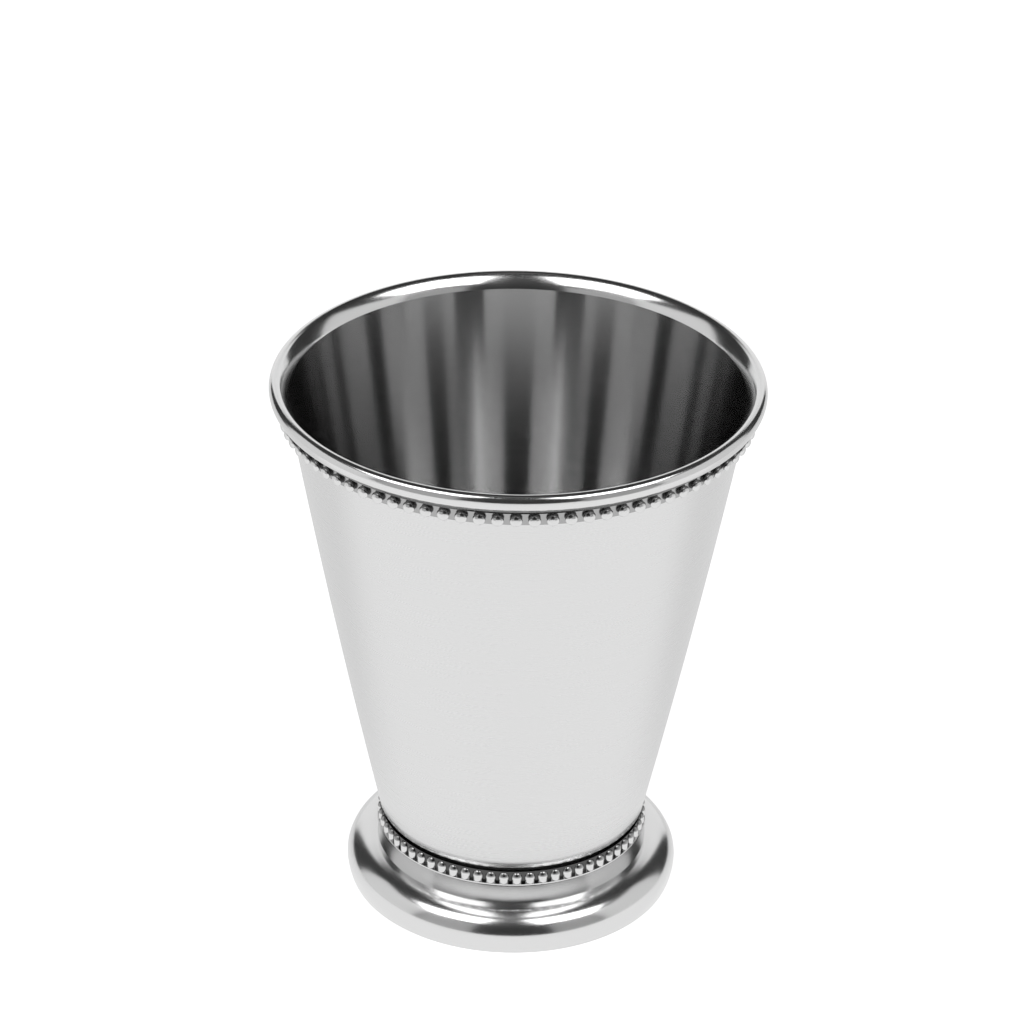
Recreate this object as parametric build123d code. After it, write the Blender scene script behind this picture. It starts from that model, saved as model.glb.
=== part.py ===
from build123d import *
import math
import os

# Julep cup: a tapered steel cup with a rolled lip, two beaded borders and a hollow foot.
# Millimetres, +Z up, origin on the floor at the middle of the foot.

# Overall sizes
HEIGHT = 104.5  # floor to the top of the lip
RIM_DIAMETER = 90.0  # across the lip's roll
BASE_DIAMETER = 50.0  # across the cup's bottom edge
FOOT_HEIGHT = 14.8  # floor to the cup's underside
SOLDER_GAP = 0.05  # capillary gap where one piece laps another

# Cup body, spun from one sheet
WALL = 0.5  # sheet thickness
WALL_BULGE = 0.5  # how far the wall bellies out from a straight cone
BASE_CORNER = 0.5  # outside radius of the bottom edge
INNER_CORNER = 2.5  # inside radius between wall and bottom

# Rim moulding, a rolled lip with a flared mouth and a skirt outside the wall
LIP_HALF_WIDTH = 1.23  # of the roll, which is a little taller than it is wide
LIP_HALF_HEIGHT = 1.5
LIP_OVERHANG = 3.05  # roll's outermost line beyond the wall's top edge
LIP_DEPTH = 2.65  # top of the lip down to the wall's top edge
SKIRT_DROP = 4.37  # top of the lip down to the skirt's lower edge
SKIRT = 0.4  # thickness of the skirt

# Rim bead wire, round flattish beads on a strip
RIM_BEAD_RADIUS = 1.13
RIM_BEAD_DOME = 0.65  # a bead's widest ring to its front, and to its back
RIM_BEAD_GAP = 0.95  # clear space between neighbours
RIM_BEAD_BACK = 0.75  # metal behind a bead
RIM_STRIP = 0.9  # thickness of the strip between the beads
RIM_STRIP_MARGIN = 0.06  # strip above and below a bead

# Foot, stamped from sheet
FOOT_SHEET = 0.9
FOOT_FLARE = 6.3  # foot's widest line beyond the cup's bottom edge
FOOT_EDGE_HEIGHT = 2.9  # floor to the widest line
FOOT_ROLL_HEIGHT = 7.55  # floor to the crease where the neck meets the half-round edge
FOOT_TUCK = 0.55  # how far the edge tucks in from its widest line to the floor
HEM = 1.75  # width of the turned-in ring that stands on the floor
CREASE_PROUD = 0.5  # crease beyond the cup's bottom edge
LEDGE_PROUD = 0.65  # ledge under the beads, beyond the cup's bottom edge
NECK_COVE = 0.15  # depth of the hollow in the neck
COLLAR_INSET = 1.9  # collar behind the beads, inside the cup's bottom edge
FLANGE = 3.4  # width of the flange that carries the cup

# Foot bead wire, tall beads with round tops that grow out of a lip along the strip's lower edge
FOOT_BEAD_RADIUS = 1.1
FOOT_BEAD_GAP = 0.195
FOOT_BEAD_BACK = 0.15  # metal behind a bead
FOOT_STRIP = 1.75
FOOT_STRIP_HEIGHT = 2.74
FOOT_STRIP_MARGIN = 0.07  # strip above a bead
FOOT_STRIP_LIP = 0.35  # height of the lip
FOOT_LIP_PROUD = 0.02  # lip beyond the beads
FOOT_BEAD_CLEARANCE = 0.7  # strip's top edge below the cup's underside
FOOT_BEAD_TURN = 0.5  # pitches that the beads are turned round from the rim's

# Ring of solder that holds the cup on the foot
SOLDER_LEG = 0.8

# Lines that several pieces share
base_r = BASE_DIAMETER / 2
wall_top_r = RIM_DIAMETER / 2 - LIP_OVERHANG
wall_top_z = HEIGHT - LIP_DEPTH
floor_z = FOOT_HEIGHT + WALL
skirt_z = HEIGHT - SKIRT_DROP
collar_r = base_r - COLLAR_INSET
flange_r = collar_r - FLANGE
ledge_z = FOOT_HEIGHT - FOOT_BEAD_CLEARANCE - FOOT_STRIP_HEIGHT

# Circle that the wall's belly lies on, from its chord and its bulge
chord = math.hypot(wall_top_r - base_r, wall_top_z - FOOT_HEIGHT)
belly_r = (chord**2 / 4 + WALL_BULGE**2) / (2 * WALL_BULGE)
belly_reach = (belly_r - WALL_BULGE) / chord
belly_axis_r = (base_r + wall_top_r) / 2 - belly_reach * (wall_top_z - FOOT_HEIGHT)
belly_axis_z = (FOOT_HEIGHT + wall_top_z) / 2 + belly_reach * (wall_top_r - base_r)


def wall_radius(z, outset=0.0):
    """Radius at height z of the wall's outside, or of a face that lies outset from it."""
    return belly_axis_r + math.sqrt((belly_r + outset) ** 2 - (z - belly_axis_z) ** 2)


def wall_line(z_from, z_to, outset=0.0):
    """The wall's curve between two heights, in the half section."""
    heights = (z_from, (z_from + z_to) / 2, z_to)
    return ThreePointArc(*[(wall_radius(z, outset), z) for z in heights])


def lathe(section):
    """Turns a half section, radius across and height up, about the cup's axis."""
    return revolve(Plane.XZ * section, Axis.Z)


def round_corner(section, corner, radius):
    """Rounds the section's corner nearest to a point."""
    return fillet(section.vertices().sort_by_distance((*corner, 0))[0], radius)


def beaded(strip, bead, ring_radius, ring_z, pitch, turn=0.0):
    """A strip with beads set evenly round it, as many as their pitch gives."""
    count = round(2 * math.pi * ring_radius / pitch)
    ring = Pos(0, 0, ring_z) * PolarLocations(ring_radius, count, start_angle=turn * 360 / count)
    return strip + [place * bead for place in ring]


def make_cup_body():
    top_in = (wall_radius(wall_top_z, -WALL), wall_top_z)
    bottom_in = (wall_radius(floor_z, -WALL), floor_z)
    outline = [
        Line((0, FOOT_HEIGHT), (base_r, FOOT_HEIGHT)),
        wall_line(FOOT_HEIGHT, wall_top_z),
        Line((wall_top_r, wall_top_z), top_in),
        wall_line(wall_top_z, floor_z, -WALL),
        Line(bottom_in, (0, floor_z)),
        Line((0, floor_z), (0, FOOT_HEIGHT)),
    ]
    section = make_face(outline)
    section = round_corner(section, (base_r, FOOT_HEIGHT), BASE_CORNER)
    section = round_corner(section, bottom_in, INNER_CORNER)
    return lathe(section)


def make_rim_moulding():
    across = LIP_HALF_WIDTH
    up = LIP_HALF_HEIGHT
    roll = Vector(RIM_DIAMETER / 2 - across, HEIGHT - up)
    under_roll = roll + Vector(0, -up)
    mouth = Vector(wall_radius(wall_top_z, -WALL), wall_top_z)
    face = SOLDER_GAP + SKIRT

    # The flare inside the mouth runs smoothly into the roll where the roll slopes at 45 degrees
    roll_ends = roll + Vector(-(across**2), up**2) / math.hypot(across, up)
    roll_sweep = 90 + math.degrees(math.atan2(up, -across))

    outline = [
        TangentArc(roll_ends, mouth, tangent=(-1, -1)),
        EllipticalCenterArc(roll, across, up, start_angle=-90, arc_size=roll_sweep),
        Line(under_roll, (wall_radius(under_roll.Y, face), under_roll.Y)),
        wall_line(under_roll.Y, skirt_z, face),
        Line((wall_radius(skirt_z, face), skirt_z), (wall_radius(skirt_z, SOLDER_GAP), skirt_z)),
        wall_line(skirt_z, wall_top_z, SOLDER_GAP),
        Line((wall_radius(wall_top_z, SOLDER_GAP), wall_top_z), mouth),
    ]
    return lathe(make_face(outline))


def make_rim_bead_wire():
    bead_z = skirt_z - RIM_STRIP_MARGIN - RIM_BEAD_RADIUS
    low_z = bead_z - RIM_BEAD_RADIUS - RIM_STRIP_MARGIN
    face = SOLDER_GAP + RIM_STRIP
    outline = [
        wall_line(low_z, skirt_z, SOLDER_GAP),
        Line((wall_radius(skirt_z, SOLDER_GAP), skirt_z), (wall_radius(skirt_z, face), skirt_z)),
        wall_line(skirt_z, low_z, face),
        Line((wall_radius(low_z, face), low_z), (wall_radius(low_z, SOLDER_GAP), low_z)),
    ]
    ring_r = wall_radius(bead_z, SOLDER_GAP + RIM_BEAD_BACK + RIM_BEAD_DOME)
    # A bead is a flattish dome, narrowed behind to the strip
    dome = EllipticalCenterArc((0, 0), RIM_BEAD_DOME, RIM_BEAD_RADIUS, arc_size=90)
    neck = Polyline(dome @ 1, (-RIM_BEAD_DOME, RIM_BEAD_RADIUS / 2), (-RIM_BEAD_DOME, 0), dome @ 0)
    bead = revolve(make_face([dome, neck]), Axis.X)
    pitch = 2 * RIM_BEAD_RADIUS + RIM_BEAD_GAP
    return beaded(lathe(make_face(outline)), bead, ring_r, bead_z, pitch)


def make_foot_ring():
    edge_r = base_r + FOOT_FLARE
    crease_r = base_r + CREASE_PROUD
    ledge_r = base_r + LEDGE_PROUD
    sole_r = edge_r - FOOT_TUCK
    hem_r = sole_r - HEM
    roll_rise = FOOT_ROLL_HEIGHT - FOOT_EDGE_HEIGHT
    roll_reach = edge_r - crease_r
    neck_middle = ((ledge_r + crease_r) / 2 - NECK_COVE, (ledge_z + FOOT_ROLL_HEIGHT) / 2)
    centre = (crease_r, FOOT_EDGE_HEIGHT)

    outside = [
        Polyline((flange_r, FOOT_HEIGHT), (collar_r, FOOT_HEIGHT), (collar_r, ledge_z), (ledge_r, ledge_z)),
        ThreePointArc((ledge_r, ledge_z), neck_middle, (crease_r, FOOT_ROLL_HEIGHT)),
        EllipticalCenterArc(centre, roll_reach, roll_rise, arc_size=90),
        TangentArc((edge_r, FOOT_EDGE_HEIGHT), (sole_r, 0), tangent=(0, -1)),
        Line((sole_r, 0), (hem_r, 0)),
    ]

    # The inside follows the outside, one sheet thickness in
    inner_edge_r = edge_r - FOOT_SHEET
    inner_rise = roll_rise - FOOT_SHEET
    inside = [
        Polyline((hem_r, 0), (hem_r, FOOT_SHEET), (sole_r - FOOT_SHEET, FOOT_SHEET)),
        TangentArc(
            (inner_edge_r, FOOT_EDGE_HEIGHT), (sole_r - FOOT_SHEET, FOOT_SHEET), tangent=(0, -1)
        ),
        EllipticalCenterArc(centre, roll_reach - FOOT_SHEET, inner_rise, arc_size=90),
        Polyline(
            (crease_r, FOOT_EDGE_HEIGHT + inner_rise),
            (crease_r - FOOT_SHEET, FOOT_EDGE_HEIGHT + inner_rise),
            (crease_r - FOOT_SHEET, ledge_z - FOOT_SHEET),
            (collar_r - FOOT_SHEET, ledge_z - FOOT_SHEET),
            (collar_r - FOOT_SHEET, FOOT_HEIGHT - FOOT_SHEET),
            (flange_r, FOOT_HEIGHT - FOOT_SHEET),
            (flange_r, FOOT_HEIGHT),
        ),
    ]
    return lathe(make_face(outside + inside))


def make_foot_bead_wire():
    low_r = collar_r + SOLDER_GAP
    face_r = low_r + FOOT_STRIP
    ring_r = low_r + FOOT_BEAD_BACK + FOOT_BEAD_RADIUS
    lip_r = ring_r + FOOT_BEAD_RADIUS + FOOT_LIP_PROUD
    lip_z = ledge_z + FOOT_STRIP_LIP
    top_z = ledge_z + FOOT_STRIP_HEIGHT
    outline = Polyline(
        (low_r, ledge_z),
        (lip_r, ledge_z),
        (lip_r, lip_z),
        (face_r, lip_z),
        (face_r, top_z),
        (low_r, top_z),
        close=True,
    )
    # A bead is half a ball on a shank that ends inside the lip
    bead_z = top_z - FOOT_STRIP_MARGIN - FOOT_BEAD_RADIUS
    shank = bead_z - lip_z + FOOT_STRIP_LIP / 2
    bead = Pos(0, 0, -shank / 2) * Cylinder(FOOT_BEAD_RADIUS, shank) + Sphere(FOOT_BEAD_RADIUS)
    pitch = 2 * FOOT_BEAD_RADIUS + FOOT_BEAD_GAP
    return beaded(lathe(make_face(outline)), bead, ring_r, bead_z, pitch, FOOT_BEAD_TURN)


def make_foot_solder():
    outer_r = flange_r - SOLDER_GAP
    corner = (outer_r, FOOT_HEIGHT)
    inner = (outer_r - SOLDER_LEG, FOOT_HEIGHT)
    lower = (outer_r, FOOT_HEIGHT - SOLDER_LEG)
    # The solder's free face is hollow, as it is drawn up into the corner
    sag = SOLDER_LEG * (1 - math.sqrt(0.5))
    hollow = (outer_r - sag, FOOT_HEIGHT - sag)
    return lathe(make_face([Line(corner, inner), ThreePointArc(inner, hollow, lower), Line(lower, corner)]))


pieces = {
    "cup_body": make_cup_body(),
    "rim_moulding": make_rim_moulding(),
    "rim_bead_wire": make_rim_bead_wire(),
    "foot_ring": make_foot_ring(),
    "foot_bead_wire": make_foot_bead_wire(),
    "foot_solder": make_foot_solder(),
}

os.makedirs("parts", exist_ok=True)
for name, piece in pieces.items():
    piece.label = name
    export_step(piece, f"parts/{name}.step")
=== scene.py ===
import math
import bpy
from mathutils import Matrix, Vector


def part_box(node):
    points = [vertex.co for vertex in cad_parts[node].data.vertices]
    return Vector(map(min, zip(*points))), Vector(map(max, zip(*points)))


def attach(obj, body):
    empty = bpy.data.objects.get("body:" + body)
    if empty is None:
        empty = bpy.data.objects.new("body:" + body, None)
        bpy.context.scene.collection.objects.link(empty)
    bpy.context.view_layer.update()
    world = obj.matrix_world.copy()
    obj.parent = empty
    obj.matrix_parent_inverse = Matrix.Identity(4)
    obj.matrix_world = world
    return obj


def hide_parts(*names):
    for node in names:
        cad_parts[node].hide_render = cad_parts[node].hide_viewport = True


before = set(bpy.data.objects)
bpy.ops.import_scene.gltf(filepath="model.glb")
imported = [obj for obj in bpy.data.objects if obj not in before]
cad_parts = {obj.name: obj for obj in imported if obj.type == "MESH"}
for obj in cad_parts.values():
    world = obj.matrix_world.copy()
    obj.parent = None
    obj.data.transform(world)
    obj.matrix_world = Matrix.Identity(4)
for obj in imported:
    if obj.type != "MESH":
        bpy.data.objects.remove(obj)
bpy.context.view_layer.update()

# Cup body: the tapered cup itself, one sheet of stainless steel pressed and spun to a slight belly.
# It is satin outside and brushed in rings inside. Its bottom sits on the foot's flange and its top
# edge is covered by the rim moulding.
MM = 0.001
WALL = 0.5 * MM
WALL_BULGE = 0.5 * MM  # how far the wall bellies out from a straight cone
WALL_START = 0.6 * MM  # height over the bottom at which the corner has turned into the wall
BASE_RADIUS = 25.0 * MM
BASE_CORNER = 0.5 * MM
INNER_CORNER = 2.5 * MM
SATIN_STEEL = "dedede"
BRUSHED_STEEL = "cacaca"
BRUSH_LINE = 0.3 * MM  # spacing of the brush lines, drawn about three times too wide so that they show
BRUSH_STROKE = 14.0 * MM  # length of one line
BRUSH_DEPTH = 0.01 * MM
TURN_FACETS = 288  # faces round a turned piece
GUIDE = 10.0 * MM  # radius of the circle that carries a section round the axis
SEAM = 0.002 * MM  # points closer than this are joined
SHARP = 28  # degrees between two faces, past which their corner stays sharp

body_low, body_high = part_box("cup_body")
base_z, mouth_z = body_low.z, body_high.z
mouth_r = body_high.x
floor_z = base_z + WALL

# Circle that the belly lies on, from its chord and its bulge
chord = math.hypot(mouth_r - BASE_RADIUS, mouth_z - base_z)
belly_r = (chord**2 / 4 + WALL_BULGE**2) / (2 * WALL_BULGE)
belly_reach = (belly_r - WALL_BULGE) / chord
belly_axis_r = (BASE_RADIUS + mouth_r) / 2 - belly_reach * (mouth_z - base_z)
belly_axis_z = (base_z + mouth_z) / 2 + belly_reach * (mouth_r - BASE_RADIUS)


def wall_radius(z, outset=0.0):
    """Radius at height z of the wall's outside, or of a face that lies outset from it."""
    return belly_axis_r + math.sqrt((belly_r + outset) ** 2 - (z - belly_axis_z) ** 2)


def wall_line(z_from, z_to, outset, steps):
    """Points of the wall's curve between two heights, as (radius, height)."""
    heights = [z_from + (z_to - z_from) * k / steps for k in range(steps + 1)]
    return [(wall_radius(z, outset), z) for z in heights]


def arc(centre, radius, degrees_from, degrees_to, steps, flatten=1.0):
    """Points round a circle, or round an ellipse whose height is flatten times its width."""
    sweep = degrees_to - degrees_from
    turns = [math.radians(degrees_from + sweep * k / steps) for k in range(steps + 1)]
    height = flatten * radius
    return [(centre[0] + radius * math.cos(a), centre[1] + height * math.sin(a)) for a in turns]


def linear(hex_colour):
    """An sRGB hex colour as linear red, green, blue and alpha."""
    parts = [int(hex_colour[k : k + 2], 16) / 255 for k in (0, 2, 4)]
    return (*[c / 12.92 if c <= 0.04045 else ((c + 0.055) / 1.055) ** 2.4 for c in parts], 1.0)


def add(tree, kind, inputs=None, **settings):
    """Adds a node. Inputs maps a socket's name or number to a value or to the output that feeds it."""
    made = tree.nodes.new(kind)
    for key, value in settings.items():
        setattr(made, key, value)
    for key, value in (inputs or {}).items():
        if isinstance(value, bpy.types.NodeSocket):
            tree.links.new(value, made.inputs[key])
        else:
            made.inputs[key].default_value = value
    return made


def new_tree(name, **inputs):
    """A geometry tree with named inputs after its geometry, and the sockets that give them."""
    tree = bpy.data.node_groups.new(name, "GeometryNodeTree")
    tree.interface.new_socket("Geometry", in_out="INPUT", socket_type="NodeSocketGeometry")
    for label, kind in inputs.items():
        tree.interface.new_socket(label, in_out="INPUT", socket_type="NodeSocket" + kind)
    tree.interface.new_socket("Geometry", in_out="OUTPUT", socket_type="NodeSocketGeometry")
    return tree, tree.nodes.new("NodeGroupInput").outputs


def finish_tree(tree, mesh, material):
    """Ends a tree: smooth faces that break at sharp corners, instances made real, one material."""
    angle = add(tree, "GeometryNodeInputMeshEdgeAngle").outputs["Unsigned Angle"]
    corner = add(tree, "FunctionNodeCompare", {0: angle, 1: math.radians(SHARP)}).outputs[0]
    smooth = add(tree, "GeometryNodeSetShadeSmooth", {"Geometry": mesh}).outputs[0]
    creases = {"Geometry": smooth, "Selection": corner, "Shade Smooth": False}
    creased = add(tree, "GeometryNodeSetShadeSmooth", creases, domain="EDGE").outputs[0]
    real = add(tree, "GeometryNodeRealizeInstances", {0: creased}).outputs[0]
    dressed = add(tree, "GeometryNodeSetMaterial", {"Geometry": real, "Material": material})
    add(tree, "NodeGroupOutput", {"Geometry": dressed.outputs[0]})


# The lathe: sweeps a half section, radius across and height up, round a guide circle
lathe, given = new_tree("lathe", Facets="Int", Guide="Float", Finish="Material")
shift = add(lathe, "ShaderNodeMath", {0: given["Guide"], 1: -1.0}, operation="MULTIPLY").outputs[0]
shift = add(lathe, "ShaderNodeCombineXYZ", {"X": shift}).outputs[0]
section = {"Geometry": given["Geometry"], "Offset": shift}
section = add(lathe, "GeometryNodeSetPosition", section).outputs[0]
guide = {"Resolution": given["Facets"], "Radius": given["Guide"]}
guide = add(lathe, "GeometryNodeCurvePrimitiveCircle", guide).outputs[0]
swept = add(lathe, "GeometryNodeCurveToMesh", {"Curve": guide, "Profile Curve": section}).outputs[0]
closed = add(lathe, "GeometryNodeMergeByDistance", {"Geometry": swept, "Distance": SEAM}).outputs[0]
finish_tree(lathe, closed, given["Finish"])


def made_by(tree, name, outline, cyclic, **sizes):
    """Runs a tree on a half section and returns the result as a plain mesh object at the origin."""
    curve = bpy.data.curves.new(name + "_section", "CURVE")
    curve.dimensions = "3D"
    spline = curve.splines.new("POLY")
    spline.points.add(len(outline) - 1)
    for point, (r, z) in zip(spline.points, reversed(outline)):
        point.co = (r, -z, 0.0, 1.0)  # the sweep turns the section's height over
    spline.use_cyclic_u = cyclic
    holder = bpy.data.objects.new(name + "_section", curve)
    bpy.context.scene.collection.objects.link(holder)
    modifier = holder.modifiers.new("shape", "NODES")
    modifier.node_group = tree
    sockets = {s.name: s.identifier for s in tree.interface.items_tree if s.in_out == "INPUT"}
    for label, value in sizes.items():
        modifier[sockets[label]] = value
    evaluated = holder.evaluated_get(bpy.context.evaluated_depsgraph_get())
    mesh = bpy.data.meshes.new_from_object(evaluated)
    mesh.name = name
    bpy.data.objects.remove(holder)
    piece = bpy.data.objects.new(name, mesh)
    bpy.context.scene.collection.objects.link(piece)
    return piece


def dress(piece, node):
    """Sets a finished piece in the place of its CAD node."""
    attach(piece, "root")
    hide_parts(node)


def new_steel(name, colour, roughness, **fixed):
    """A bare metal, its tree, its Principled shader and its Object coordinates."""
    material = bpy.data.materials.new(name)
    material.use_nodes = True
    tree = material.node_tree
    tree.nodes.clear()
    shader = add(tree, "ShaderNodeBsdfPrincipled", {"Base Color": linear(colour), "Metallic": 1.0})
    shader.inputs["Roughness"].default_value = roughness
    for socket, value in fixed.items():
        shader.inputs[socket.replace("_", " ")].default_value = value
    add(tree, "ShaderNodeOutputMaterial", {"Surface": shader.outputs[0]})
    place = add(tree, "ShaderNodeTexCoord").outputs["Object"]
    return material, tree, shader, place


def uneven_gloss(tree, shader, pattern, smooth, rough):
    """Lets a pattern vary the roughness between two ends."""
    gloss = add(tree, "ShaderNodeMapRange", {"Value": pattern, "To Min": smooth, "To Max": rough})
    tree.links.new(gloss.outputs[0], shader.inputs["Roughness"])


def round_axis(tree, place):
    """A place without its height, its distance from the cup's axis, and its height."""
    level = {0: place, 1: (1.0, 1.0, 0.0)}
    flat = add(tree, "ShaderNodeVectorMath", level, operation="MULTIPLY").outputs[0]
    distance = add(tree, "ShaderNodeVectorMath", {0: flat}, operation="LENGTH").outputs["Value"]
    height = add(tree, "ShaderNodeSeparateXYZ", {0: place}).outputs["Z"]
    return flat, distance, height


def brush(tree, shader, place, detail, smooth, rough, relief):
    """Brush lines: long round the cup, and close together up the wall or out from the axis."""
    flat, distance, height = round_axis(tree, place)
    climb = add(tree, "ShaderNodeMath", {0: distance, 1: height}, operation="ADD").outputs[0]
    across = {0: climb, 1: 1.0 / BRUSH_LINE}
    across = add(tree, "ShaderNodeMath", across, operation="MULTIPLY").outputs[0]
    across = add(tree, "ShaderNodeCombineXYZ", {"Z": across}).outputs[0]
    along = {0: flat, "Scale": 1.0 / BRUSH_STROKE}
    along = add(tree, "ShaderNodeVectorMath", along, operation="SCALE").outputs[0]
    spot = add(tree, "ShaderNodeVectorMath", {0: along, 1: across}).outputs[0]
    lines = {"Vector": spot, "Scale": 1.0, "Detail": detail}
    lines = add(tree, "ShaderNodeTexNoise", lines).outputs[0]
    uneven_gloss(tree, shader, lines, smooth, rough)
    bump = {"Height": lines, "Strength": relief, "Distance": BRUSH_DEPTH}
    bump = add(tree, "ShaderNodeBump", bump).outputs[0]
    tree.links.new(bump, shader.inputs["Normal"])


# Satin stainless steel, scoured with fine abrasive: an even, soft reflection with faint level lines
satin_steel, *satin = new_steel("satin_stainless_steel", SATIN_STEEL, 0.26)
brush(*satin, detail=3.0, smooth=0.2, rough=0.32, relief=0.01)

# Brushed stainless steel: fine rings left by a spinning pad, which smear each reflection up the wall
brushed_steel, *brushed = new_steel(
    "brushed_stainless_steel", BRUSHED_STEEL, 0.12, Anisotropic=0.9, Anisotropic_Rotation=0.25
)
brush(*brushed, detail=4.0, smooth=0.09, rough=0.15, relief=0.15)

base_corner_at = (BASE_RADIUS - BASE_CORNER, base_z + BASE_CORNER)
inner_corner_z = floor_z + INNER_CORNER
inner_corner_at = (wall_radius(inner_corner_z, -WALL - INNER_CORNER), inner_corner_z)
cup_outline = (
    [(0.0, base_z)]
    + arc(base_corner_at, BASE_CORNER, -90, -10, steps=8)
    + wall_line(base_z + WALL_START, mouth_z, 0.0, steps=60)
    + wall_line(mouth_z, inner_corner_z, -WALL, steps=60)
    + arc(inner_corner_at, INNER_CORNER, -12, -90, steps=10)
    + [(0.0, floor_z)]
)
cup_body = made_by(
    lathe,
    "cup_body_shell",
    cup_outline,
    cyclic=False,
    Facets=TURN_FACETS,
    Guide=GUIDE,
    Finish=satin_steel,
)
cup_body.data.materials.append(brushed_steel)
for face in cup_body.data.polygons:
    inward = face.normal.x * face.center.x + face.normal.y * face.center.y < 0
    on_floor = face.normal.z > 0.5 and face.center.z < mouth_z - WALL
    if inward or on_floor:
        face.material_index = 1
dress(cup_body, "cup_body")

# Rim moulding: a rolled steel lip with a flared mouth, soldered over the wall's top edge.
# Its skirt hugs the wall outside, down to the beads. It is buffed to a soft mirror.
POLISHED_STEEL = "dedede"
SOLDER_GAP = 0.05 * MM
LIP_HALF_WIDTH = 1.23 * MM
LIP_HALF_HEIGHT = 1.5 * MM
SKIRT = 0.4 * MM
GRAIN = 0.35 * MM  # size of the pits that the wheel leaves, drawn coarse so that they show
GRAIN_DEPTH = 0.01 * MM
WAVE = 4.0 * MM  # width of the ripples in the sheet
WAVE_DEPTH = 0.05 * MM


def new_polish(name, smooth, rough):
    """Steel buffed with a wheel: a soft mirror with a fine grain and a slight ripple."""
    made = new_steel(name, POLISHED_STEEL, (smooth + rough) / 2)
    material, tree, shader, place = made
    grain = {"Vector": place, "Scale": 1.0 / GRAIN, "Detail": 2.0}
    grain = add(tree, "ShaderNodeTexNoise", grain).outputs[0]
    wave = {"Vector": place, "Scale": 1.0 / WAVE, "Detail": 1.0}
    wave = add(tree, "ShaderNodeTexNoise", wave).outputs[0]
    uneven_gloss(tree, shader, wave, smooth, rough)
    ripple = {"Height": wave, "Strength": 0.1, "Distance": WAVE_DEPTH}
    ripple = add(tree, "ShaderNodeBump", ripple).outputs[0]
    pits = {"Height": grain, "Strength": 0.1, "Distance": GRAIN_DEPTH, "Normal": ripple}
    pits = add(tree, "ShaderNodeBump", pits).outputs[0]
    tree.links.new(pits, shader.inputs["Normal"])
    return made


# Polished stainless steel: the wheel reaches all of the lip, which is nearly a mirror
polished_steel = new_polish("polished_stainless_steel", 0.12, 0.2)[0]

rim_low, rim_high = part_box("rim_moulding")
skirt_z = rim_low.z
roll_at = Vector((rim_high.x - LIP_HALF_WIDTH, rim_high.z - LIP_HALF_HEIGHT))
roll_shape = LIP_HALF_HEIGHT / LIP_HALF_WIDTH
mouth = Vector((wall_radius(mouth_z, -WALL), mouth_z))

# The flare inside the mouth is an arc that runs smoothly into the roll where the roll slopes at 45 degrees
roll_ends = math.degrees(math.atan2(LIP_HALF_HEIGHT, -LIP_HALF_WIDTH))
roll = arc(roll_at, LIP_HALF_WIDTH, -90, roll_ends, steps=44, flatten=roll_shape)
slope = Vector((-1.0, 1.0)).normalized()
to_mouth = mouth - Vector(roll[-1])
flare_r = -to_mouth.length_squared / (2 * to_mouth.dot(slope))
flare_at = Vector(roll[-1]) - slope * flare_r
flare_ends = math.degrees(math.atan2(mouth.y - flare_at.y, mouth.x - flare_at.x))
rim_outline = (
    wall_line(mouth_z, skirt_z, SOLDER_GAP, steps=4)
    + wall_line(skirt_z, roll_at.y - LIP_HALF_HEIGHT, SOLDER_GAP + SKIRT, steps=4)
    + roll
    + arc(flare_at, flare_r, 135, flare_ends, steps=24)[1:]
)
rim_moulding = made_by(
    lathe,
    "rim_moulding_lip",
    rim_outline,
    cyclic=True,
    Facets=TURN_FACETS,
    Guide=GUIDE,
    Finish=polished_steel,
)
dress(rim_moulding, "rim_moulding")

# Rim bead wire: a strip of round, flattish beads, rolled between dies and soldered round the cup
# under the lip's skirt. Each bead shows the white table below and the dark room above.
RIM_BEADS = 84
RIM_BEAD_RADIUS = 1.13 * MM
RIM_BEAD_DOME = 0.65 * MM  # a bead's widest ring to its front, and to its back
RIM_BEAD_BACK = 0.75 * MM  # metal behind a bead
RIM_STRIP = 0.9 * MM  # thickness of the strip between the beads
BEAD_SEGMENTS = 24
BEAD_RINGS = 16
BEAD_EQUATOR = -0.001 * MM  # just under a bead's widest ring
STRIP_FACETS = 4  # faces of the strip for each bead
# Colour of the painted shade on the beads' tops and between the beads
PAINTED_SHADE = "2a2a2a"
SHADE_FADE = 0.08 * MM  # half the width over which the painted shade on a bead fades out
SHADE_FOOT = 0.03 * MM  # the painted shade between the beads starts to climb a bead here, over the strip's face
SHADE_TOP = 0.15 * MM  # and ends here

# A beaded strip: the lathe makes the strip, and beads of one kind are set round it and fused to it
beaded, given = new_tree(
    "beaded_strip",
    Facets="Int",
    Guide="Float",
    Finish="Material",
    Beads="Int",
    Bead_Radius="Float",
    Bead_Dome="Float",
    Bead_Shank="Float",
    Bead_Underside="Float",
    Ring_Radius="Float",
    Ring_Height="Float",
    Ring_Turn="Float",
)
strip = {label: given[label] for label in ("Geometry", "Facets", "Guide", "Finish")}
strip = add(beaded, "GeometryNodeGroup", strip, node_tree=lathe).outputs[0]
ball = {"Segments": BEAD_SEGMENTS, "Rings": BEAD_RINGS, "Radius": given["Bead_Radius"]}
ball = add(beaded, "GeometryNodeMeshUVSphere", ball).outputs[0]
flat, distance, height = round_axis(beaded, add(beaded, "GeometryNodeInputPosition").outputs[0])

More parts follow.
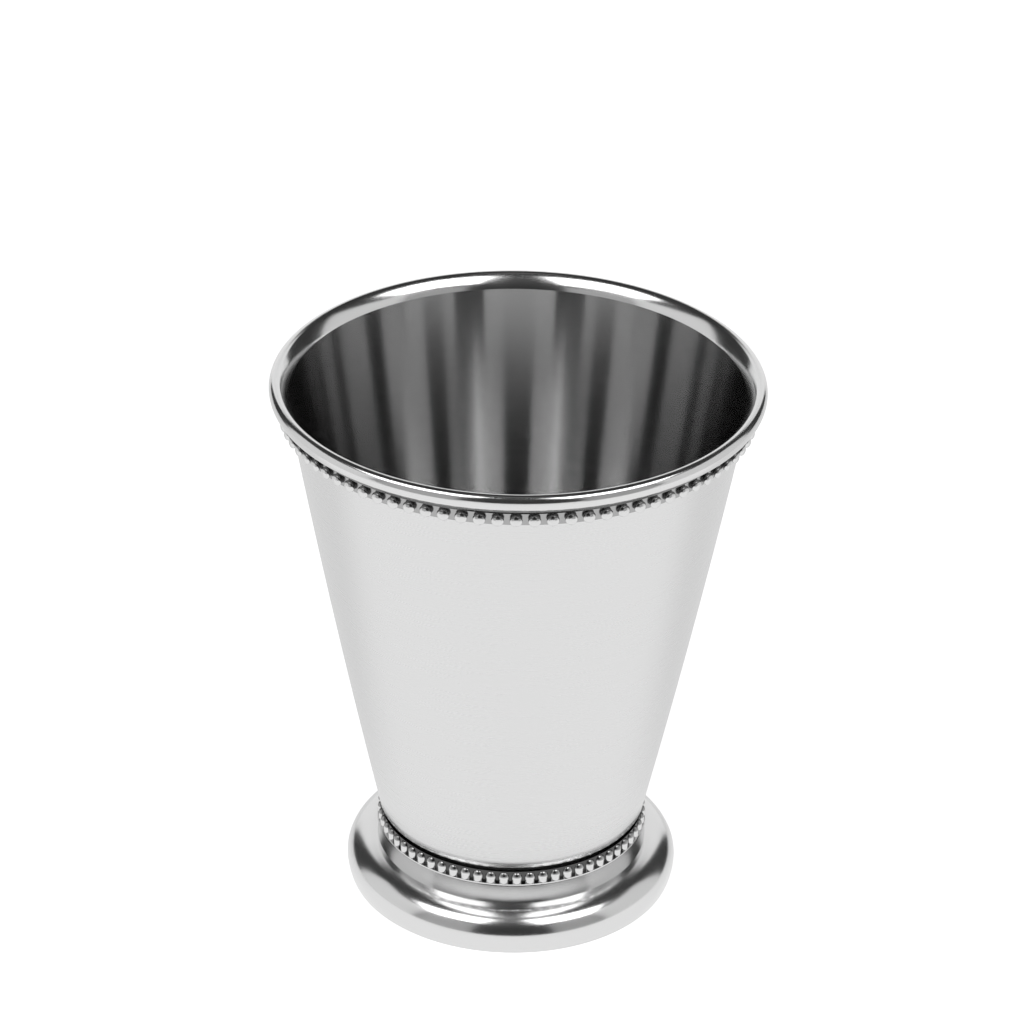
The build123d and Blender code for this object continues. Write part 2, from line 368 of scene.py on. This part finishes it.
# A tall bead's lower half is flattened by its underside and drawn down to a shank
below = {0: height, 1: BEAD_EQUATOR}
below = add(beaded, "FunctionNodeCompare", below, operation="LESS_THAN").outputs[0]
under = {0: height, 1: given["Bead_Underside"]}
under = add(beaded, "ShaderNodeMath", under, operation="MULTIPLY").outputs[0]
under = {0: under, 1: given["Bead_Shank"]}
under = add(beaded, "ShaderNodeMath", under, operation="SUBTRACT").outputs[0]
drop = add(beaded, "ShaderNodeMath", {0: under, 1: height}, operation="SUBTRACT").outputs[0]
drop = add(beaded, "ShaderNodeCombineXYZ", {"Z": drop}).outputs[0]
bead = {"Geometry": ball, "Selection": below, "Offset": drop}
bead = add(beaded, "GeometryNodeSetPosition", bead).outputs[0]

seats = {"Vertices": given["Beads"], "Radius": given["Ring_Radius"]}
seats = add(beaded, "GeometryNodeMeshCircle", seats).outputs[0]
lift = add(beaded, "ShaderNodeCombineXYZ", {"Z": given["Ring_Height"]}).outputs[0]
turn = add(beaded, "ShaderNodeCombineXYZ", {"Z": given["Ring_Turn"]}).outputs[0]
seats = {"Geometry": seats, "Translation": lift, "Rotation": turn}
seats = add(beaded, "GeometryNodeTransform", seats).outputs[0]
beads = add(beaded, "GeometryNodeInstanceOnPoints", {"Points": seats, "Instance": bead}).outputs[0]
beads = add(beaded, "GeometryNodeRealizeInstances", {0: beads}).outputs[0]

# Beads whose dome is lower than their radius are pressed flatter, towards the ring that they sit on
outward = add(beaded, "ShaderNodeVectorMath", {0: flat}, operation="NORMALIZE").outputs[0]
reach = {0: distance, 1: given["Ring_Radius"]}
reach = add(beaded, "ShaderNodeMath", reach, operation="SUBTRACT").outputs[0]
kept = {0: given["Bead_Dome"], 1: given["Bead_Radius"]}
kept = add(beaded, "ShaderNodeMath", kept, operation="DIVIDE").outputs[0]
press = add(beaded, "ShaderNodeMath", {0: kept, 1: 1.0}, operation="SUBTRACT").outputs[0]
press = add(beaded, "ShaderNodeMath", {0: press, 1: reach}, operation="MULTIPLY").outputs[0]
press = {0: outward, "Scale": press}
press = add(beaded, "ShaderNodeVectorMath", press, operation="SCALE").outputs[0]
beads = add(beaded, "GeometryNodeSetPosition", {"Geometry": beads, "Offset": press}).outputs[0]
fused = add(beaded, "GeometryNodeMeshBoolean", operation="UNION", solver="MANIFOLD")
for part in (strip, beads):
    beaded.links.new(part, fused.inputs["Mesh 2"])
finish_tree(beaded, fused.outputs[0], given["Finish"])


def beaded_steel(name, ring, face_r, lean, between, slope, edge, top_shade):
    """Polished steel with painted shade: a dark colour laid on the beads' upper sides and between them,
    where shade and dark reflections fall.

    Ring is the radius and height of the beads' centres, and face_r and lean place the strip's face.
    Between is the painted shade's share on that face; the last argument is its share on the beads'
    upper sides, past a line that lies edge over their centres and is tipped by slope degrees.
    """
    material, tree, shader, place = new_polish(name, 0.14, 0.22)
    flat, distance, height = round_axis(tree, place)
    spot = add(tree, "ShaderNodeCombineXYZ", {"X": distance, "Z": height}).outputs[0]
    spot = {0: spot, 1: (ring[0], 0.0, ring[1])}
    spot = add(tree, "ShaderNodeVectorMath", spot, operation="SUBTRACT").outputs[0]
    tip = math.radians(slope)
    above = {0: spot, 1: (-math.sin(tip), 0.0, math.cos(tip))}
    above = add(tree, "ShaderNodeVectorMath", above, operation="DOT_PRODUCT").outputs["Value"]
    # Painted shade on the beads' upper sides, past the tipped line
    top = {"Value": above, "From Min": edge - SHADE_FADE, "From Max": edge + SHADE_FADE, "To Max": top_shade}
    top = add(tree, "ShaderNodeMapRange", top).outputs[0]
    depth = {0: spot, 1: (1.0, 0.0, -lean)}
    depth = add(tree, "ShaderNodeVectorMath", depth, operation="DOT_PRODUCT").outputs["Value"]
    face = face_r - ring[0]
    climb = {"From Min": face + SHADE_FOOT, "From Max": face + SHADE_TOP}
    # Painted shade between the beads on the strip's face, climbing onto the bead tops, mixed into the base
    # colour
    painted_shade_share = {"Value": depth, **climb, "To Min": between, "To Max": top}
    painted_shade_share = add(tree, "ShaderNodeMapRange", painted_shade_share).outputs[0]
    colours = {"Factor": painted_shade_share, 6: linear(POLISHED_STEEL), 7: linear(PAINTED_SHADE)}
    mixed = add(tree, "ShaderNodeMix", colours, data_type="RGBA").outputs[2]
    tree.links.new(mixed, shader.inputs["Base Color"])
    return material


strip_low, strip_high = (corner.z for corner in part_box("rim_bead_wire"))
bead_z = (strip_low + strip_high) / 2
ring_r = wall_radius(bead_z, SOLDER_GAP + RIM_BEAD_BACK + RIM_BEAD_DOME)
strip_outline = (
    wall_line(strip_high, strip_low, SOLDER_GAP, steps=4)
    + wall_line(strip_low, strip_high, SOLDER_GAP + RIM_STRIP, steps=4)
)

# Beaded stainless steel of the rim: bright beads with painted shade on their tops, on a strip with painted
# shade between them
rim_beaded_steel = beaded_steel(
    "beaded_stainless_steel_rim",
    ring=(ring_r, bead_z),
    face_r=wall_radius(bead_z, SOLDER_GAP + RIM_STRIP),
    lean=(wall_radius(strip_high) - wall_radius(strip_low)) / (strip_high - strip_low),
    # Shares of painted shade between the beads and on their tops
    between=0.45,
    slope=60,
    edge=-0.04 * MM,
    top_shade=0.8,
)
rim_bead_wire = made_by(
    beaded,
    "rim_bead_strip",
    strip_outline,
    cyclic=True,
    Facets=RIM_BEADS * STRIP_FACETS,
    Guide=GUIDE,
    Finish=rim_beaded_steel,
    Beads=RIM_BEADS,
    Bead_Radius=RIM_BEAD_RADIUS,
    Bead_Dome=RIM_BEAD_DOME,
    Bead_Shank=0.0,
    Bead_Underside=1.0,
    Ring_Radius=ring_r,
    Ring_Height=bead_z,
    Ring_Turn=0.0,
)
dress(rim_bead_wire, "rim_bead_wire")

# Foot ring: stamped from sheet to a cove neck and a half-round edge, hollow underneath, with its
# rim turned in to stand on. The cup is soldered to the flange at its top.
FOOT_SHEET = 0.9 * MM
FOOT_EDGE_HEIGHT = 2.9 * MM
FOOT_ROLL_HEIGHT = 7.55 * MM
FOOT_TUCK = 0.55 * MM
HEM = 1.75 * MM
CREASE_RADIUS = 25.5 * MM
LEDGE_RADIUS = 25.65 * MM
NECK_COVE = 0.15 * MM
COLLAR_RADIUS = 23.1 * MM
FLANGE_RADIUS = 19.7 * MM

# Buffed stainless steel: finished more coarsely than the lip, so what it mirrors is blurred
buffed_steel = new_polish("buffed_stainless_steel", 0.15, 0.22)[0]

foot_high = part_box("foot_ring")[1]
foot_strip_low, foot_strip_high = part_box("foot_bead_wire")
edge_r, foot_z = foot_high.x, foot_high.z
ledge_z = foot_strip_low.z
sole_r = edge_r - FOOT_TUCK
hem_r = sole_r - HEM
roll_reach = edge_r - CREASE_RADIUS
roll_rise = FOOT_ROLL_HEIGHT - FOOT_EDGE_HEIGHT
inner_reach = roll_reach - FOOT_SHEET
inner_rise = roll_rise - FOOT_SHEET
edge_at = (CREASE_RADIUS, FOOT_EDGE_HEIGHT)
inner_edge = (edge_r - FOOT_SHEET, FOOT_EDGE_HEIGHT)
inner_sole = (sole_r - FOOT_SHEET, FOOT_SHEET)


def tuck(edge, sole, steps):
    """Arc from the widest line, where it runs straight down, in to the sole."""
    across, drop = edge[0] - sole[0], edge[1] - sole[1]
    radius = (across**2 + drop**2) / (2 * across)
    sweep = math.degrees(math.asin(drop / radius))
    return arc((edge[0] - radius, edge[1]), radius, 0, -sweep, steps)


def cove(start, end, depth, steps):
    """A shallow hollow between two points of the section."""
    points = []
    for k in range(steps + 1):
        t = k / steps
        hollow = 4 * depth * t * (1 - t)
        points.append((start[0] + (end[0] - start[0]) * t - hollow, start[1] + (end[1] - start[1]) * t))
    return points


foot_outline = (
    [
        (FLANGE_RADIUS, foot_z - FOOT_SHEET),
        (COLLAR_RADIUS - FOOT_SHEET, foot_z - FOOT_SHEET),
        (COLLAR_RADIUS - FOOT_SHEET, ledge_z - FOOT_SHEET),
        (CREASE_RADIUS - FOOT_SHEET, ledge_z - FOOT_SHEET),
        (CREASE_RADIUS - FOOT_SHEET, FOOT_EDGE_HEIGHT + inner_rise),
    ]
    + arc(edge_at, inner_reach, 90, 0, steps=24, flatten=inner_rise / inner_reach)
    + tuck(inner_edge, inner_sole, steps=8)[1:]
    + [(hem_r, FOOT_SHEET), (hem_r, 0.0)]
    + tuck((edge_r, FOOT_EDGE_HEIGHT), (sole_r, 0.0), steps=12)[::-1]
    + arc(edge_at, roll_reach, 0, 90, steps=48, flatten=roll_rise / roll_reach)[1:]
    + cove((CREASE_RADIUS, FOOT_ROLL_HEIGHT), (LEDGE_RADIUS, ledge_z), NECK_COVE, steps=16)[1:]
    + [(COLLAR_RADIUS, ledge_z), (COLLAR_RADIUS, foot_z), (FLANGE_RADIUS, foot_z)]
)
foot_ring = made_by(
    lathe,
    "foot_ring_shell",
    foot_outline,
    cyclic=True,
    Facets=TURN_FACETS,
    Guide=GUIDE,
    Finish=buffed_steel,
)
dress(foot_ring, "foot_ring")

# Foot bead wire: a second rolled strip, with tall beads set close, soldered round the foot's collar
# in the shadow of the cup's bottom edge. The beads grow out of a lip that is flush with the neck.
FOOT_BEADS = 64
FOOT_BEAD_RADIUS = 1.1 * MM
FOOT_BEAD_BACK = 0.15 * MM  # metal behind a bead
FOOT_STRIP = 1.75 * MM
FOOT_STRIP_MARGIN = 0.07 * MM  # strip above a bead
FOOT_STRIP_LIP = 0.35 * MM

lip_r, strip_high = foot_strip_high.x, foot_strip_high.z
lip_z = ledge_z + FOOT_STRIP_LIP
strip_back = COLLAR_RADIUS + SOLDER_GAP
strip_face = strip_back + FOOT_STRIP
bead_z = strip_high - FOOT_STRIP_MARGIN - FOOT_BEAD_RADIUS
ring_r = strip_back + FOOT_BEAD_BACK + FOOT_BEAD_RADIUS
foot_strip_outline = [
    (strip_back, strip_high),
    (strip_back, ledge_z),
    (lip_r, ledge_z),
    (lip_r, lip_z),
    (strip_face, lip_z),
    (strip_face, strip_high),
]

# Beaded stainless steel of the foot: nearly black painted shade between these beads, and painted shade on
# their tops
foot_beaded_steel = beaded_steel(
    "beaded_stainless_steel_foot",
    ring=(ring_r, bead_z),
    face_r=strip_face,
    lean=0.0,
    # Shares of painted shade between the beads and on their tops
    between=0.9,
    slope=0,
    edge=0.1 * MM,
    top_shade=0.55,
)
foot_bead_wire = made_by(
    beaded,
    "foot_bead_strip",
    foot_strip_outline,
    cyclic=True,
    Facets=FOOT_BEADS * STRIP_FACETS,
    Guide=GUIDE,
    Finish=foot_beaded_steel,
    Beads=FOOT_BEADS,
    Bead_Radius=FOOT_BEAD_RADIUS,
    Bead_Dome=FOOT_BEAD_RADIUS,
    Bead_Shank=bead_z - lip_z + FOOT_STRIP_LIP / 2,
    Bead_Underside=0.02,
    Ring_Radius=ring_r,
    Ring_Height=bead_z,
    Ring_Turn=math.pi / FOOT_BEADS,
)
dress(foot_bead_wire, "foot_bead_wire")

# Foot solder: the fillet of tin solder inside the flange that holds the cup on its foot.
# It shows only from below.
TIN_SOLDER = "c4c4c2"
SOLDER_LUMP = 0.8 * MM

# Tin solder, left as it froze: dull and grey, with blurred patches
tin_solder, tree, shader, place = new_steel("dull_tin_solder", TIN_SOLDER, 0.4)
lumps = {"Vector": place, "Scale": 1.0 / SOLDER_LUMP, "Detail": 3.0}
lumps = add(tree, "ShaderNodeTexNoise", lumps).outputs[0]
uneven_gloss(tree, shader, lumps, 0.3, 0.55)
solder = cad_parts["foot_solder"]
solder.data.materials.clear()
solder.data.materials.append(tin_solder)

# Studio: a white table, two softboxes in front, white cards at the sides and behind, and a dark
# room round them. The metal shows all of it; the camera sees only the white table.
SOFTBOX_CORNER = Vector((44.0, -144.0, 404.0)) * MM  # corner nearest the cup, of the right one
SOFTBOX_LENGTH = 300 * MM
SOFTBOX_WIDTH = 215 * MM
SOFTBOX_TURN = (0.88, 0.476)  # cosine and sine of its turn, seen from above
SOFTBOX_GLOW = 3.4
CARD_STEPS = 8
ROOM_RADIUS = 2.5
ROOM_GLOW = 0.04
ROOM_SIDES = 48
ROOM_ROWS = 16
ROOM_DIP = 2  # degrees by which the room's foot lies under the table
TABLE_HALF = 2.4
TABLE_TOP = -0.02 * MM


def glow(name, strength):
    """A plain evenly lit surface."""
    material = bpy.data.materials.new(name)
    material.use_nodes = True
    material.node_tree.nodes.clear()
    shine = add(material.node_tree, "ShaderNodeEmission", {"Strength": strength})
    add(material.node_tree, "ShaderNodeOutputMaterial", {"Surface": shine.outputs[0]})
    return material


def stage_piece(name, points, faces, material, seen):
    """Sets up a piece of the studio, which is no part of the cup."""
    mesh = bpy.data.meshes.new(name)
    mesh.from_pydata(points, [], faces)
    mesh.materials.append(material)
    piece = bpy.data.objects.new(name, mesh)
    bpy.context.scene.collection.objects.link(piece)
    piece.visible_camera = seen


def toward(azimuth, elevation):
    """Direction from the cup, with azimuth 0 towards the camera and 90 to its right."""
    a, e = math.radians(azimuth), math.radians(elevation)
    return Vector((math.sin(a) * math.cos(e), -math.cos(a) * math.cos(e), math.sin(e)))


def card(name, azimuths, elevations, distance, strength):
    """A lit panel on part of a sphere round the cup's mouth, between two azimuths and two elevations."""
    points, faces = [], []
    for i in range(CARD_STEPS + 1):
        for j in range(CARD_STEPS + 1):
            a = azimuths[0] + (azimuths[1] - azimuths[0]) * i / CARD_STEPS
            e = elevations[0] + (elevations[1] - elevations[0]) * j / CARD_STEPS
            points.append(toward(a, e) * distance + Vector((0.0, 0.0, mouth_z)))
    for i in range(CARD_STEPS):
        for j in range(CARD_STEPS):
            k = i * (CARD_STEPS + 1) + j
            faces.append((k, k + 1, k + CARD_STEPS + 2, k + CARD_STEPS + 1))
    stage_piece(name, points, faces, glow(name, strength), seen=False)


# The softboxes are flat and hang level above the cup, each to one side of the camera
for name, side in (("softbox_left", -1), ("softbox_right", 1)):
    mirror = Vector((side, 1.0, 1.0))
    near = SOFTBOX_CORNER * mirror
    along = Vector((SOFTBOX_TURN[0], SOFTBOX_TURN[1], 0.0)) * mirror * SOFTBOX_LENGTH
    away = Vector((SOFTBOX_TURN[1], -SOFTBOX_TURN[0], 0.0)) * mirror * SOFTBOX_WIDTH
    corners = [near, near + along, near + along + away, near + away]
    stage_piece(name, corners, [(0, 1, 2, 3)], glow(name, SOFTBOX_GLOW), seen=False)

# The cards round the cup stand on the table, so that the foot mirrors no dark gap under them
card("side_card_left", azimuths=(-115, -62), elevations=(-14, 33), distance=0.4, strength=0.8)
card("side_card_right", azimuths=(62, 115), elevations=(-14, 33), distance=0.4, strength=0.75)
card("back_card", azimuths=(145, 215), elevations=(-9.5, 34), distance=0.6, strength=0.95)
card("front_card_left", azimuths=(-60, -24), elevations=(-11.5, 34), distance=0.5, strength=0.45)
card("front_card_right", azimuths=(28, 60), elevations=(-11.5, 34), distance=0.5, strength=0.4)
card("overhead_card", azimuths=(-180, 180), elevations=(78, 90), distance=0.6, strength=0.12)

room_points, room_faces = [], []
for j in range(ROOM_ROWS + 1):
    for k in range(ROOM_SIDES):
        room_points.append(toward(360 * k / ROOM_SIDES, 90 * j / ROOM_ROWS - ROOM_DIP) * ROOM_RADIUS)
for j in range(ROOM_ROWS):
    for k in range(ROOM_SIDES):
        here, beside = j * ROOM_SIDES + k, j * ROOM_SIDES + (k + 1) % ROOM_SIDES
        room_faces.append((here, beside, beside + ROOM_SIDES, here + ROOM_SIDES))
stage_piece("room", room_points, room_faces, glow("dark_room", ROOM_GLOW), seen=False)

# White table: it glows for the camera and for reflections, and still takes the cup's shadow. Its glow for
# reflections carries a painted shadow, which dims it a little behind the cup and darkens the wall towards
# its sides.
table = bpy.data.materials.new("white_table")
table.use_nodes = True
tree = table.node_tree
tree.nodes.clear()
eye = add(tree, "ShaderNodeLightPath").outputs["Is Camera Ray"]
lit = add(tree, "ShaderNodeMapRange", {"Value": eye, "To Min": 0.2, "To Max": 0.5}).outputs[0]
paper = add(tree, "ShaderNodeBsdfDiffuse", {"Color": lit}).outputs[0]
place = add(tree, "ShaderNodeTexCoord").outputs["Object"]
back = add(tree, "ShaderNodeSeparateXYZ", {0: place}).outputs["Y"]
# Painted shadow: the glow that the metal sees falls off behind the cup
painted_shadow = {"Value": back, "From Min": -20 * MM, "From Max": 40 * MM, "To Min": 0.86, "To Max": 0.71}
painted_shadow = add(tree, "ShaderNodeMapRange", painted_shadow, interpolation_type="SMOOTHSTEP").outputs[0]
level = add(tree, "ShaderNodeMapRange", {"Value": eye, "To Min": painted_shadow, "To Max": 0.85}).outputs[0]
shine = add(tree, "ShaderNodeEmission", {"Strength": level}).outputs[0]
both = add(tree, "ShaderNodeAddShader", {0: paper, 1: shine}).outputs[0]
add(tree, "ShaderNodeOutputMaterial", {"Surface": both})
corners = [(x * TABLE_HALF, y * TABLE_HALF, TABLE_TOP) for x, y in ((-1, -1), (1, -1), (1, 1), (-1, 1))]
stage_piece("floor", corners, [(0, 1, 2, 3)], table, seen=True)

# White beyond the table, for the camera and for reflections
world = bpy.data.worlds.new("white_studio")
bpy.context.scene.world = world
world.use_nodes = True
tree = world.node_tree
tree.nodes.clear()
ray = add(tree, "ShaderNodeLightPath").outputs
seen = ray["Is Camera Ray"]
for other in ("Is Glossy Ray", "Is Transmission Ray"):
    seen = add(tree, "ShaderNodeMath", {0: seen, 1: ray[other]}, operation="MAXIMUM").outputs[0]
sky = add(tree, "ShaderNodeBackground", {"Strength": seen}).outputs[0]
add(tree, "ShaderNodeOutputWorld", {"Surface": sky})

# Camera: a long lens a little above the cup, turned by a hair as the photograph is
CAMERA_PLACE = Vector((0.0, -686.2, 460.8)) * MM
CAMERA_AIM = Vector((-0.78, 0.0, 76.7)) * MM
CAMERA_ROLL = 0.9
CAMERA_LENS = 150.7
CAMERA_SENSOR = 36.0
camera_data = bpy.data.cameras.new("camera")
camera_data.lens = CAMERA_LENS
camera_data.sensor_width = CAMERA_SENSOR
camera = bpy.data.objects.new("camera", camera_data)
bpy.context.scene.collection.objects.link(camera)
looking = (CAMERA_AIM - CAMERA_PLACE).to_track_quat("-Z", "Y").to_matrix().to_4x4()
rolled = looking @ Matrix.Rotation(math.radians(CAMERA_ROLL), 4, "Z")
camera.matrix_world = Matrix.Translation(CAMERA_PLACE) @ rolled
bpy.context.scene.camera = camera
bpy.context.scene.view_settings.view_transform = "Standard"
